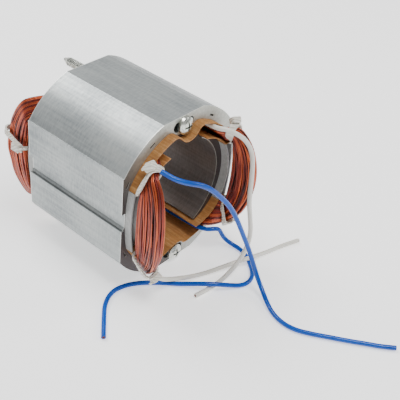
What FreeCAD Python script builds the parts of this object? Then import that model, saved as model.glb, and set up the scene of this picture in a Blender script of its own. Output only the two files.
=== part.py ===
import FreeCAD
import Part
import math
import os
import Sketcher

# Wound field stator of a two-pole universal motor.
#
# Frame: X across the stack, Y along the stack with the screw heads at -Y, Z up.
# The origin is the middle of the bottom flat on which the stator stands.
# Body sketches are drawn about the bore axis, which lies half the stack height above it.

Vector = FreeCAD.Vector

# ----------------------------------------------------------------------------------------
# Driving dimensions (millimetres, degrees and plain counts)
# ----------------------------------------------------------------------------------------

SIZES = (
    # lamination stack
    ("stack_length", 68.0, "front face to rear face"),
    ("half_height", 45.0, "bore axis to the top and bottom flats"),
    ("corner_rise", 2.2, "radius of the round corners beyond the half height"),
    ("half_width", 40.0, "bore axis to the side flats"),
    ("shoulder_height", 26.2, "bore axis to the upper end of a side flat"),
    ("bore_radius", 30.0, "pole faces"),
    ("notch_half", 5.2, "half height of the side notch"),
    ("notch_depth", 2.0, "depth of the side notch"),
    ("ledge_rise", 1.8, "height of the sloped ledge in the side notch"),
    ("lip_setback", 0.9, "side flat to the tip of the ledge"),
    ("lip_rise", 0.6, "opening of the groove under the ledge"),
    ("yoke_inner_radius", 40.3, "outer wall of the windows"),
    ("neck_half", 18.0, "half height of the pole necks"),
    ("shoe_back_radius", 29.0, "curve of the back of a pole shoe"),
    ("shoe_back_shift", 6.5, "bore axis to the centre of that curve"),
    ("tip_angle", 60.0, "end of a pole shoe, from the horizontal"),
    ("bump_radius", 6.6, "inward bump round a screw slot"),
    ("blend_radius", 6.0, "hollow beside that bump"),
    ("screw_inset", 5.0, "top or bottom flat to a screw axis"),
    ("slot_straight_half", 4.4, "screw slot, half of its straight part"),
    ("slot_radius", 2.8, "screw slot, end radius"),
    ("stake_inset", 2.3, "outer wall of the windows to the staking marks"),
    ("stake_length", 3.6, "staking mark, along the arc"),
    ("stake_width", 1.1, "staking mark, across"),
    ("stake_depth", 0.3, "staking mark, pressed in at the front"),
    # slot liners
    ("liner_gap", 0.1, "window wall to liner"),
    ("liner_thickness", 0.5, "pressboard"),
    ("liner_reach", 5.0, "liner beyond each end face"),
    ("liner_end_angle", 65.0, "end of a liner past the pole tip"),
    ("liner_low_reach", 0.4, "bottom liner beyond the front face, at its floor"),
    ("liner_slope_height", 15.0, "floor of the bottom liner to where its slanted edge ends"),
    # end insulators
    ("saddle_web", 0.8, "web on the end face"),
    ("saddle_wall", 0.8, "wall thickness"),
    ("saddle_inner_height", 4.6, "bore side wall"),
    ("saddle_outer_height", 4.0, "yoke side wall"),
    ("saddle_outer_radius", 92.0, "bulge of the yoke side wall"),
    ("saddle_outer_place", 37.8, "bore axis to the yoke side wall, at mid height"),
    ("saddle_side_gap", 0.3, "end of a saddle to the liner"),
    # field coils
    ("coil_gap", 0.3, "liner to coil"),
    ("coil_span_angle", 58.0, "outer edge of a coil side, from the horizontal"),
    ("coil_lift", 1.6, "liner edge to the innermost turn of the end turn"),
    ("end_turn_height", 22.5, "end face to the crown of the end turn"),
    ("end_turn_bulge_in", 3.4, "end turn nearer to the bore than the coil side"),
    ("end_turn_bulge_out", 0.8, "coil side further out than the end turn"),
    ("end_turn_flatness", 0.62, "how far the end turn leaves the cylinder, 1 being flat"),
    ("end_turn_rise", 4.0, "liner edge to where the end turn has its own thickness"),
    ("inner_flare_rise", 1.6, "liner edge to where the innermost turn lies flatter"),
    ("outer_flare_rise", 7.0, "liner edge to where the outermost turn lies flatter"),
    ("coil_corner_radius", 1.5, "innermost turn at a corner"),
    ("coil_roundness", 5.0, "power of the rounded section, 2 being an ellipse"),
    ("wire_ridge_depth", 0.3, "relief of the turns on the coil"),
    ("wire_ridge_count", 36, "turns that show round the section"),
    # screws
    ("shank_radius", 2.1, "plain shank of a screw"),
    ("thread_radius", 2.4, "thread of a screw, over its crests"),
    ("thread_length", 16.0, "threaded end of a screw, its point included"),
    ("head_radius", 4.7, "pan head"),
    ("head_height", 3.5, "pan head"),
    ("head_edge", 1.9, "straight side of the pan head"),
    ("screw_reach", 18.0, "screw beyond the rear face"),
    ("point_length", 4.0, "pointed end of a screw"),
    ("point_radius", 0.8, "flat at the very tip"),
    ("recess_length", 5.0, "cross recess, tip to tip"),
    ("recess_width", 1.0, "cross recess, one slot"),
    ("recess_depth", 2.0, "cross recess"),
    # cable ties
    ("tie_width", 2.5, "strap"),
    ("tie_thickness", 0.9, "strap"),
    ("tie_gap", 0.52, "coil to strap"),
    ("tie_head_length", 5.4, "head, along the strap"),
    ("tie_head_width", 4.6, "head, across the strap"),
    ("tie_head_height", 3.4, "head, above the coil"),
    ("tie_tail_length", 1.6, "cut tail beyond the head"),
    # leads
    ("lead_diameter", 2.5, "insulated lead"),
)

doc = FreeCAD.newDocument("wound_field_stator")
sheet = doc.addObject("Spreadsheet::Sheet", "sizes")
for row, (alias, value, note) in enumerate(SIZES, start=1):
    sheet.set(f"A{row}", str(value))
    sheet.set(f"B{row}", note)
    sheet.setAlias(f"A{row}", alias)
doc.recompute()


def size(alias):
    """Return one driving dimension from the sheet."""
    return float(sheet.get(alias))


def cells(text):
    """Turn {alias} in an expression into a reference to the sheet."""
    names = {alias: f"sizes.{alias}" for alias, _value, _note in SIZES}
    return text.format(**names)


AXIS_HEIGHT = cells("{half_height}")
HALF_LENGTH = cells("({stack_length} / 2)")
OUTER_RADIUS = cells("({half_height} + {corner_rise})")
SCREW_OFFSET = cells("({half_height} - {screw_inset})")

# ----------------------------------------------------------------------------------------
# Small tools for bodies and sketches
# ----------------------------------------------------------------------------------------


def new_body(label, rotation=None, base_y=None, base_z=None):
    """Add a body turned by (axis, degrees), with its origin on the bore axis by default."""
    body = doc.addObject("PartDesign::Body", label)
    body.Label = label
    if rotation:
        body.Placement = FreeCAD.Placement(Vector(), FreeCAD.Rotation(*rotation))
    body.setExpression("Placement.Base.z", base_z or AXIS_HEIGHT)
    if base_y:
        body.setExpression("Placement.Base.y", base_y)
    return body


def origin_feature(body, role):
    """Return the plane or axis of a body's origin that has this role."""
    return next(item for item in body.Origin.OriginFeatures if item.Role == role)


def new_sketch(body, name, role="XZ_Plane", offset=None, turn=0.0):
    """Add a sketch on an origin plane, moved along its normal and turned in its plane."""
    sketch = body.newObject("Sketcher::SketchObject", name)
    sketch.AttachmentSupport = [(origin_feature(body, role), "")]
    sketch.MapMode = "FlatFace"
    spin = FreeCAD.Rotation(Vector(0, 0, 1), turn)
    sketch.AttachmentOffset = FreeCAD.Placement(Vector(), spin)
    if offset:
        sketch.setExpression("AttachmentOffset.Base.z", offset)
    return sketch


def draw_outline(sketch, corners, arcs=None):
    """Draw one closed outline through corners given as pairs of expressions.

    A corner's "0" puts it on that axis. arcs maps the number of the corner where an arc
    starts to (radius expression, bulge). The bulge is -1 where the arc's centre lies left
    of its chord and 1 where it lies right.
    """
    arcs = arcs or {}
    points = []
    for across, up in corners:
        values = (sketch.evalExpression(across), sketch.evalExpression(up))
        points.append(Vector(float(values[0]), float(values[1]), 0))
    first = sketch.GeometryCount
    ends = []
    for index, start in enumerate(points):
        stop = points[(index + 1) % len(points)]
        if index not in arcs:
            sketch.addGeometry(Part.LineSegment(start, stop))
            ends.append((1, 2))
            continue
        radius_text, bulge = arcs[index]
        radius = float(sketch.evalExpression(radius_text))
        chord = stop - start
        middle = (start + stop) * 0.5
        side = Vector(-chord.y, chord.x, 0).normalize()
        rise = math.sqrt(max(radius ** 2 - (chord.Length / 2) ** 2, 0.0))
        centre = middle - side * (bulge * rise)
        begin, finish = (start, stop) if bulge < 0 else (stop, start)
        angles = [math.atan2(p.y - centre.y, p.x - centre.x) for p in (begin, finish)]
        circle = Part.Circle(centre, Vector(0, 0, 1), radius)
        sketch.addGeometry(Part.ArcOfCircle(circle, *angles))
        ends.append((1, 2) if bulge < 0 else (2, 1))
    count = len(points)
    for index in range(count):
        follow = (index + 1) % count
        sketch.addConstraint(Sketcher.Constraint(
            "Coincident", first + index, ends[index][1], first + follow, ends[follow][0]))
    for index, (across, up) in enumerate(corners):
        where = (first + index, ends[index][0])
        for kind, text, axis in (("DistanceX", across, -2), ("DistanceY", up, -1)):
            if text == "0":
                sketch.addConstraint(Sketcher.Constraint("PointOnObject", *where, axis))
                continue
            value = float(sketch.evalExpression(text))
            number = sketch.addConstraint(Sketcher.Constraint(kind, -1, 1, *where, value))
            sketch.setExpression(f"Constraints[{number}]", text)
    for index, (radius_text, _bulge) in arcs.items():
        value = float(sketch.evalExpression(radius_text))
        number = sketch.addConstraint(Sketcher.Constraint("Radius", first + index, value))
        sketch.setExpression(f"Constraints[{number}]", radius_text)
    return sketch


def draw_circle(sketch, radius):
    """Draw a circle about the sketch's origin."""
    value = float(sketch.evalExpression(radius))
    number = sketch.addGeometry(Part.Circle(Vector(), Vector(0, 0, 1), value))
    sketch.addConstraint(Sketcher.Constraint("Coincident", number, 3, -1, 1))
    bound = sketch.addConstraint(Sketcher.Constraint("Radius", number, value))
    sketch.setExpression(f"Constraints[{bound}]", radius)
    return sketch


def pad(body, name, sketch, length, symmetric=False):
    """Pad a sketch by an expression."""
    feature = body.newObject("PartDesign::Pad", name)
    feature.Profile = sketch
    feature.SideType = "Symmetric" if symmetric else "One side"
    feature.setExpression("Length", length)
    doc.recompute()
    return feature


def pocket(body, name, sketch, depth=None, symmetric=False):
    """Pocket a sketch by a depth, or right through."""
    before = body.Shape.Volume
    feature = body.newObject("PartDesign::Pocket", name)
    feature.Profile = sketch
    feature.SideType = "Symmetric" if symmetric else "One side"
    if depth:
        feature.setExpression("Length", depth)
    else:
        feature.Type = "ThroughAll"
    doc.recompute()
    if not body.Shape.Volume < before:
        raise RuntimeError(f"{name} cuts nothing")
    return feature


def mirror(body, name, originals, role):
    """Mirror features of a body about one of its origin planes."""
    feature = body.newObject("PartDesign::Mirrored", name)
    feature.Originals = originals
    feature.MirrorPlane = (origin_feature(body, role), [""])
    body.Tip = feature
    doc.recompute()
    return feature


def turn_pattern(body, name, originals, role, angle, count):
    """Repeat features of a body round one of its origin axes."""
    feature = body.newObject("PartDesign::PolarPattern", name)
    feature.Originals = originals
    feature.Axis = (origin_feature(body, role), [""])
    feature.Angle = angle
    feature.Occurrences = count
    body.Tip = feature
    doc.recompute()
    return feature


# ----------------------------------------------------------------------------------------
# Window outline, shared by the laminations and the liners
# ----------------------------------------------------------------------------------------


def draw_half_window(sketch, inset, end_angle, inner_radius):
    """Draw the right half of the upper window, shrunk by inset.

    It runs from the bump below the screw slot along the yoke to the pole neck, back along
    the pole shoe to end_angle, and down to inner_radius, which lies inside the bore.
    """
    yoke = f"({cells('{yoke_inner_radius}')} - {inset})"
    blend = f"({cells('{blend_radius}')} - {inset})"
    bump = f"({cells('{bump_radius}')} + {inset})"
    shoe = f"({cells('{shoe_back_radius}')} + {inset})"
    neck = f"({cells('{neck_half}')} + {inset})"
    shift = cells("{shoe_back_shift}")
    screw = SCREW_OFFSET
    # centre of the hollow between the bump and the yoke wall
    hollow_up = f"((({yoke} - {blend})^2 - ({bump} + {blend})^2 + {screw}^2) / (2 * {screw}))"
    hollow_across = f"sqrt(({yoke} - {blend})^2 - {hollow_up}^2)"
    near = f"({bump} / ({bump} + {blend}))"
    far = f"({yoke} / ({yoke} - {blend}))"
    # reach of the shoe's back along the end angle
    reach = (f"({shift} * cos({end_angle})"
             f" + sqrt({shoe}^2 - ({shift} * sin({end_angle}))^2))")
    corners = [
        ("0", f"{screw} - {bump}"),
        (f"{hollow_across} * {near}", f"{screw} + ({hollow_up} - {screw}) * {near}"),
        (f"{hollow_across} * {far}", f"{hollow_up} * {far}"),
        (f"sqrt({yoke}^2 - {neck}^2)", neck),
        (f"{shift} + sqrt({shoe}^2 - {neck}^2)", neck),
        (f"{reach} * cos({end_angle})", f"{reach} * sin({end_angle})"),
        (f"{inner_radius} * cos({end_angle})", f"{inner_radius} * sin({end_angle})"),
        ("0", f"{inner_radius} * sin({end_angle})"),
    ]
    arcs = {0: (bump, -1), 1: (blend, 1), 2: (yoke, 1), 4: (shoe, -1)}
    return draw_outline(sketch, corners, arcs)


# ----------------------------------------------------------------------------------------
# Lamination stack
# ----------------------------------------------------------------------------------------


def build_lamination_stack():
    """Punched laminations, pressed and staked into one pack."""
    body = new_body("lamination_stack")
    width = cells("{half_width}")
    height = cells("{half_height}")
    radius = OUTER_RADIUS
    notch = cells("{notch_half}")
    floor = cells("({half_width} - {notch_depth})")
    lip = cells("({half_width} - {lip_setback})")
    shoulder = cells("{shoulder_height}")
    flat_end = f"sqrt({radius}^2 - {height}^2)"
    side_end = f"sqrt({radius}^2 - {width}^2)"
    corners = [
        ("0", height),
        (flat_end, height),
        (f"sqrt({radius}^2 - {shoulder}^2)", shoulder),
        (width, shoulder),
        (width, notch),
        (floor, notch),
        (floor, cells("{ledge_rise} - {notch_half}")),
        (lip, cells("{lip_rise} - {notch_half}")),
        (floor, f"-{notch}"),
        (width, f"-{notch}"),
        (width, f"-{side_end}"),
        (flat_end, f"-{height}"),
        ("0", f"-{height}"),
    ]
    arcs = {1: (radius, 1), 10: (radius, 1)}
    outline = draw_outline(new_sketch(body, "half_outline"), corners, arcs)
    half = pad(body, "half_stack", outline, cells("{stack_length}"), symmetric=True)
    mirror(body, "whole_stack", [half], "YZ_Plane")

    through = cells("{stack_length} * 2")
    bore = draw_circle(new_sketch(body, "bore_circle"), cells("{bore_radius}"))
    pocket(body, "bore", bore, through, symmetric=True)
    for name, turn in (("upper", 0.0), ("lower", 180.0)):
        window = new_sketch(body, f"{name}_window_outline", turn=turn)
        draw_half_window(window, "0", cells("{tip_angle}"), cells("{bore_radius}"))
        cut = pocket(body, f"{name}_window", window, through, symmetric=True)
        mirror(body, f"{name}_window_both", [cut], "YZ_Plane")

        run = cells("{slot_straight_half}")
        end = cells("{slot_radius}")
        place = SCREW_OFFSET
        slot_corners = [
            ("0", f"{place} - {end}"),
            (run, f"{place} - {end}"),
            (f"{run} + {end}", place),
            (run, f"{place} + {end}"),
            ("0", f"{place} + {end}"),
        ]
        slot = new_sketch(body, f"{name}_slot_outline", turn=turn)
        draw_outline(slot, slot_corners, {1: (end, -1), 2: (end, -1)})
        cut = pocket(body, f"{name}_screw_slot", slot, through, symmetric=True)
        mirror(body, f"{name}_screw_slot_both", [cut], "YZ_Plane")

    marks = []
    half_mark = cells("{stake_length} / 2")
    inside = cells("({yoke_inner_radius} + {stake_inset} - {stake_width} / 2)")
    outside = cells("({yoke_inner_radius} + {stake_inset} + {stake_width} / 2)")
    for turn in (-30.0, 30.0):
        mark = new_sketch(body, f"stake_outline_{len(marks)}", offset=HALF_LENGTH, turn=turn)
        draw_outline(mark, [
            (f"-{half_mark}", inside), (half_mark, inside),
            (half_mark, outside), (f"-{half_mark}", outside)])
        marks.append(pocket(body, f"stake_{len(marks)}", mark, cells("{stake_depth}")))
    turn_pattern(body, "stakes", marks, "Y_Axis", 270.0, 4)
    return body


# ----------------------------------------------------------------------------------------
# Slot liners
# ----------------------------------------------------------------------------------------


def build_liner(label, turn, slanted=False):
    """Pressboard channel that lines one window and stands out at both ends.

    A slanted one has its front edge cut back towards the yoke.
    """
    body = new_body(label, (Vector(0, 1, 0), turn))
    length = cells("{stack_length} + 2 * {liner_reach}")
    angle = cells("{liner_end_angle}")
    outside = new_sketch(body, "outside")
    draw_half_window(outside, cells("{liner_gap}"), angle, cells("{bore_radius}"))
    block = pad(body, "block", outside, length, symmetric=True)
    mirror(body, "whole_block", [block], "YZ_Plane")
    inside = new_sketch(body, "inside")
    draw_half_window(inside, cells("({liner_gap} + {liner_thickness})"), angle,
                     cells("({bore_radius} - 4 * {liner_thickness})"))
    hollow = pocket(body, "hollow", inside, length, symmetric=True)
    mirror(body, "whole_hollow", [hollow], "YZ_Plane")
    if slanted:
        yoke = cells("{yoke_inner_radius}")
        low = cells("-({stack_length} / 2 + {liner_low_reach})")
        full = cells("-({stack_length} / 2 + {liner_reach})")
        clear = cells("-({stack_length} / 2 + 2 * {liner_reach})")
        level = cells("({yoke_inner_radius} - {liner_slope_height})")
        wedge = new_sketch(body, "front_wedge", "YZ_Plane")
        draw_outline(wedge, [(low, yoke), (clear, yoke), (clear, level), (full, level)])
        pocket(body, "front_slant", wedge, cells("{yoke_inner_radius} * 2"), symmetric=True)
    return body


# ----------------------------------------------------------------------------------------
# End insulators
# ----------------------------------------------------------------------------------------


def build_saddle(label, rotation):
    """Moulded channel on a pole's end face: a web with a wall on each side."""
    body = new_body(label, rotation)
    top = cells("({neck_half} + {liner_gap} - {saddle_side_gap})")
    # back of the pole shoe at the window's corner sets the bore side of the saddle
    corner = cells("({shoe_back_shift} + sqrt({shoe_back_radius}^2 - {neck_half}^2))")
    inner = f"sqrt({corner}^2 + {cells('{neck_half}')}^2)"
    outer = cells("{saddle_outer_radius}")
    centre = cells("({saddle_outer_place} - {saddle_outer_radius})")
    wall = cells("{saddle_wall}")

    def bore_side(radius, up):
        return f"sqrt(({radius})^2 - ({up})^2)"

    def yoke_side(radius, up):
        return f"{centre} + sqrt(({radius})^2 - ({up})^2)"

    def half_shape(name, left, left_radius, right, right_radius, height):
        sketch = new_sketch(body, f"{name}_outline", offset=HALF_LENGTH)
        corners = [
            (left(left_radius, "0"), "0"), (right(right_radius, "0"), "0"),
            (right(right_radius, top), top), (left(left_radius, top), top)]
        draw_outline(sketch, corners, {1: (right_radius, -1), 3: (left_radius, 1)})
        return pad(body, name, sketch, height)

    halves = [
        half_shape("web", bore_side, inner, yoke_side, outer, cells("{saddle_web}")),
        half_shape("bore_wall", bore_side, inner, bore_side, f"({inner} + {wall})",
                   cells("{saddle_inner_height}")),
        half_shape("yoke_wall", yoke_side, f"({outer} - {wall})", yoke_side, outer,
                   cells("{saddle_outer_height}")),
    ]
    mirror(body, "whole", halves, "XY_Plane")
    return body


# ----------------------------------------------------------------------------------------
# Screws
# ----------------------------------------------------------------------------------------


def build_screw(label, sign):
    """Long pan-head screw through the stack, its point standing out at the rear."""
    body = new_body(label, base_y=f"-{HALF_LENGTH}",
                    base_z=f"{AXIS_HEIGHT} {sign} {SCREW_OFFSET}")
    head = cells("{head_radius}")
    edge = cells("{head_edge}")
    crown = cells("({head_height} - {head_edge})")
    dome = f"(({head}^2 + {crown}^2) / (2 * {crown}))"
    shank = cells("{shank_radius}")
    thread = cells("{thread_radius}")
    tip = cells("({stack_length} + {screw_reach})")
    thread_start = f"({tip} - " + cells("{thread_length})")
    runout = f"({thread} - {shank})"
    corners = [
        ("0", cells("-{head_height}")),
        (head, f"-{edge}"),
        (head, "0"),
        (shank, "0"),
        (shank, f"{thread_start} - {runout}"),
        (thread, thread_start),
        (thread, f"{tip} - " + cells("{point_length}")),
        (cells("{point_radius}"), tip),
        ("0", tip),
    ]
    profile = draw_outline(new_sketch(body, "half_profile", "XY_Plane"), corners,
                           {0: (dome, -1)})
    turned = body.newObject("PartDesign::Revolution", "turned")
    turned.Profile = profile
    turned.ReferenceAxis = (origin_feature(body, "Y_Axis"), [""])
    turned.Angle = 360.0
    doc.recompute()

    long_half = cells("{recess_length} / 2")
    short_half = cells("{recess_width} / 2")
    slot = new_sketch(body, "recess_outline", offset=cells("{head_height}"))
    draw_outline(slot, [
        (f"-{long_half}", f"-{short_half}"), (long_half, f"-{short_half}"),
        (long_half, short_half), (f"-{long_half}", short_half)])
    cut = pocket(body, "recess_slot", slot, cells("{recess_depth}"))
    turn_pattern(body, "cross_recess", [cut], "Y_Axis", 90.0, 2)
    return body


# ----------------------------------------------------------------------------------------
# Field coils: a bundle of turns laid round a pole
# ----------------------------------------------------------------------------------------


def smooth(value):
    """Ease from 0 to 1."""
    value = min(max(value, 0.0), 1.0)
    return value * value * (3.0 - 2.0 * value)


def mix(first, second, share):
    """Return the value that lies this share of the way from first to second."""
    return first + (second - first) * share


# steps in which the outermost turn's length is measured
ARC_STEPS = 90
# steps in which the section's length is measured, for each point that is drawn
SECTION_STEPS = 12


class CoilShape:
    """The outer surface of the right coil, for its front upper quarter.

    A station is a place along the path of the turns: 0 to 1 runs along the coil side from
    mid length to the end face, 1 to 2 along the end turn to its crown. A point of the
    section lies at a share from the innermost to the outermost turn and at a share from
    the bore side to the yoke side.
    """

    def __init__(self):
        self.face = size("stack_length") / 2
        wall = size("liner_gap") + size("liner_thickness") + size("coil_gap")
        neck = size("neck_half")
        corner = size("shoe_back_shift") + math.sqrt(size("shoe_back_radius") ** 2 - neck ** 2)
        self.side_radii = (math.hypot(corner, neck) + wall, size("yoke_inner_radius") - wall)
        self.turn_radii = (self.side_radii[0] - size("end_turn_bulge_in"),
                           self.side_radii[1] - size("end_turn_bulge_out"))
        self.unroll_radius = sum(self.side_radii) / 2
        self.inner_half = self.unroll_radius * math.asin((neck + wall) / self.side_radii[0])
        self.outer_half = self.unroll_radius * math.radians(size("coil_span_angle"))
        self.liner_edge = size("liner_reach")
        self.inner_rise = self.liner_edge + size("coil_lift")
        self.crown = size("end_turn_height")
        self.bend = size("coil_corner_radius")
        self.power = size("coil_roundness")
        self.arc_table = self.measure_outer_turn()

    def measure_outer_turn(self, count=ARC_STEPS):
        """Return lengths along the outermost turn's quarter ellipse."""
        table = [0.0]
        for index in range(count):
            first, second = (math.pi / 2 * step / count for step in (index, index + 1))
            run = math.hypot(self.outer_half * (math.cos(first) - math.cos(second)),
                             self.crown * (math.sin(second) - math.sin(first)))
            table.append(table[-1] + run)
        return table

    def outer_turn(self, share):
        """Return (unrolled height, rise above the face) on the outermost turn."""
        length = share * self.arc_table[-1]
        last = len(self.arc_table) - 1
        index = next(i for i in range(last) if self.arc_table[i + 1] >= length or i == last - 1)
        step = self.arc_table[index + 1] - self.arc_table[index]
        angle = math.pi / 2 * (index + (length - self.arc_table[index]) / step) / last
        return self.outer_half * math.cos(angle), self.crown * math.sin(angle)

    def inner_turn(self, share):
        """Return (unrolled height, rise above the face) on the innermost turn."""
        straight = self.inner_rise - self.bend
        curve = math.pi / 2 * self.bend
        across = self.inner_half - self.bend
        length = share * (straight + curve + across)
        if length <= straight:
            return self.inner_half, length
        if length >= straight + curve:
            return across - (length - straight - curve), self.inner_rise
        angle = (length - straight) / self.bend
        return (across + self.bend * math.cos(angle), straight + self.bend * math.sin(angle))

    def point(self, station, across, outward):
        """Return the point at this station with these shares of width and thickness."""
        if station <= 1.0:
            height = mix(self.inner_half, self.outer_half, across)
            rise = self.face * (station - 1.0)
        else:
            inner = self.inner_turn(min(station, 2.0) - 1.0)
            outer = self.outer_turn(min(station, 2.0) - 1.0)
            height = mix(inner[0], outer[0], across)
            rise = mix(inner[1], outer[1], across)
        own = smooth((rise - self.liner_edge) / size("end_turn_rise"))
        flare = mix(size("inner_flare_rise"), size("outer_flare_rise"), across)
        flat = smooth((rise - self.liner_edge) / flare) * size("end_turn_flatness")
        radius = mix(mix(self.side_radii[0], self.turn_radii[0], own),
                     mix(self.side_radii[1], self.turn_radii[1], own), outward)
        angle = height / self.unroll_radius
        return Vector(mix(radius * math.cos(angle), radius, flat),
                      -self.face - rise,
                      mix(radius * math.sin(angle), height, flat))

    def outline(self, station, count, relief=0.0, slant=0.0):
        """Return points round the section, every other one sunk by the relief.

        slant puts the outermost turn's side that much further back along the path.
        """
        dense = []
        fine = count * SECTION_STEPS
        for index in range(fine):
            angle = 2 * math.pi * index / fine
            shares = []
            for value in (math.cos(angle), math.sin(angle)):
                bulge = math.copysign(abs(value) ** (2.0 / self.power), value)
                shares.append(0.5 + 0.5 * bulge)
            dense.append(shares)
        width = self.outer_half - self.inner_half
        depth = self.side_radii[1] - self.side_radii[0]
        lengths = [0.0]
        for index, (across, outward) in enumerate(dense):
            follow = dense[(index + 1) % len(dense)]
            lengths.append(lengths[-1] + math.hypot(
                (follow[0] - across) * width, (follow[1] - outward) * depth))
        points = []
        index = 0
        for number in range(count):
            length = lengths[-1] * number / count
            while lengths[index + 1] < length:
                index += 1
            start, follow = dense[index], dense[(index + 1) % len(dense)]
            share = (length - lengths[index]) / (lengths[index + 1] - lengths[index])
            across = mix(start[0], follow[0], share)
            outward = mix(start[1], follow[1], share)
            sink = relief if number % 2 else 0.0
            across += sink * (0.5 - across) * 2 / width
            outward += sink * (0.5 - outward) * 2 / depth
            points.append(self.point(station + slant * (0.5 - across), across, outward))
        return points

    def station_at(self, share):
        """Return the station that lies this share of the way along the end turn."""
        return 1.0 + share

    def middle(self, station):
        """Return the middle of the section."""
        return self.point(station, 0.5, 0.5)


END_TURN_STATIONS = (0.06, 0.12, 0.18, 0.25, 0.32, 0.40, 0.50, 0.62, 0.75, 0.88)
COIL_SIDE_STATIONS = (0.0, 0.5, 0.85, 1.0)


def solid_of(faces, label):
    """Sew faces into one closed solid."""
    sewn = Part.Compound(faces)
    sewn.sewShape()
    shells = sewn.Shells or [Part.Shell(faces)]
    if len(shells) != 1:
        raise RuntimeError(f"{label} does not close")
    solid = Part.Solid(shells[0])
    if solid.Volume < 0:
        solid.reverse()
    return solid


def add_feature(label, shape, rotation=None):
    """Add a shape as an object, placed on the bore axis and turned by (axis, degrees)."""
    feature = doc.addObject("Part::Feature", label)
    feature.Label = label
    feature.Shape = shape
    spin = FreeCAD.Rotation(*rotation) if rotation else FreeCAD.Rotation()
    feature.Placement = FreeCAD.Placement(Vector(0, 0, size("half_height")), spin)
    return feature


def coil_solid(coil):
    """Close the bundle round the pole with one long face between each two of its edges."""
    count = 2 * int(size("wire_ridge_count"))
    relief = size("wire_ridge_depth")
    stations = list(COIL_SIDE_STATIONS) + [coil.station_at(share) for share in END_TURN_STATIONS]
    upper = [coil.outline(station, count, relief) for station in stations]
    crown = coil.outline(coil.station_at(1.0), count, relief)
    quarter = upper + [crown]
    # front: up the upper side to the crown and down the lower side; rear: the same again
    down = [(points, 1, -1) for points in reversed(upper)]
    loop = [(points, 1, 1) for points in quarter] + down
    loop += [(points, -1, -1) for points in quarter[1:]]
    loop += [(points, -1, 1) for points in reversed(upper[1:])]
    rings = [[Vector(p.x, p.y * along, p.z * up) for p in points] for points, along, up in loop]
    middles = [sum(points, Vector()) * (1.0 / count) for points in rings]
    knots = [0.0]
    for first, second in zip(middles, middles[1:] + middles[:1]):
        knots.append(knots[-1] + (second - first).Length)
    edges = []
    for index in range(count):
        curve = Part.BSplineCurve()
        curve.interpolate(Points=[points[index] for points in rings], PeriodicFlag=True,
                          Parameters=knots)
        edges.append(curve.toShape())
    faces = [Part.makeRuledSurface(edges[index - 1], edges[index]) for index in range(count)]
    return solid_of(faces, "coil")


# ----------------------------------------------------------------------------------------
# Cable ties
# ----------------------------------------------------------------------------------------


# share of the strap's thickness at which its head begins
TIE_HEAD_SEAT = 0.9
# points round a strap
TIE_POINTS = 48
# stations on either side of a strap that give the direction of the turns there
TIE_STATION_STEP = 0.004


def tie_solid(coil, share, slant, head_share):
    """Strap round the bundle at a share of its end turn, with its head and cut tail.

    head_share says where round the section the head sits.
    """
    station = coil.station_at(share)
    step = TIE_STATION_STEP
    speed = (coil.middle(station + step) - coil.middle(station - step)).Length / (2 * step)
    half = size("tie_width") / 2 / speed
    count = TIE_POINTS
    rings = {}
    for side in (-1, 1):
        before, here, after = (
            coil.outline(station + side * half + shift, count, slant=slant)
            for shift in (-step, 0.0, step))
        for layer, lift in (("inside", size("tie_gap")),
                            ("outside", size("tie_gap") + size("tie_thickness"))):
            points = []
            for index, point in enumerate(here):
                round_about = here[(index + 1) % count] - here[index - 1]
                along = after[index] - before[index]
                points.append(point + round_about.cross(along).normalize() * -lift)
            rings[side, layer] = points
    middle = coil.middle(station)
    if (rings[1, "outside"][0] - middle).Length < (rings[1, "inside"][0] - middle).Length:
        raise RuntimeError("a strap is inside out")
    edges = {}
    for key, points in rings.items():
        curve = Part.BSplineCurve()
        curve.interpolate(Points=points, PeriodicFlag=True)
        edges[key] = curve.toShape()
    faces = [Part.makeRuledSurface(edges[-1, "inside"], edges[1, "inside"]),
             Part.makeRuledSurface(edges[-1, "outside"], edges[1, "outside"]),
             Part.makeRuledSurface(edges[-1, "inside"], edges[-1, "outside"]),
             Part.makeRuledSurface(edges[1, "inside"], edges[1, "outside"])]
    strap = solid_of(faces, "strap")

    index = int(head_share * count) % count
    below, above = ((rings[-1, layer][index] + rings[1, layer][index]) * 0.5
                    for layer in ("inside", "outside"))
    seat = below + (above - below) * TIE_HEAD_SEAT
    across = (rings[1, "inside"][index] - rings[-1, "inside"][index]).normalize()
    beside = (rings[1, "inside"][(index + 1) % count] - rings[1, "inside"][index - 1])
    upward = across.cross(beside).normalize()
    if upward.dot(seat - middle) < 0:
        upward = upward * -1
    along = upward.cross(across).normalize()
    turned = FreeCAD.Rotation(along, across, upward, "ZXY")
    length, width, height = (size(f"tie_head_{name}") for name in ("length", "width", "height"))
    head = Part.makeBox(length, width, height, Vector(-length / 2, -width / 2, 0))
    head = head.makeChamfer(size("tie_thickness") / 2, head.Edges)
    tail_length = size("tie_tail_length") + length / 2
    strap_width = size("tie_width")
    tail = Part.makeBox(tail_length, strap_width, size("tie_thickness"),
                        Vector(0, -strap_width / 2, height / 2))
    top = head.fuse(tail)
    top.Placement = FreeCAD.Placement(seat, turned)
    return strap.fuse(top)


# ----------------------------------------------------------------------------------------
# Leads: straight runs joined by arcs that touch both
# ----------------------------------------------------------------------------------------

# share of the shorter run that an arc takes at its point
ARC_SHARE = 0.45

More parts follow.
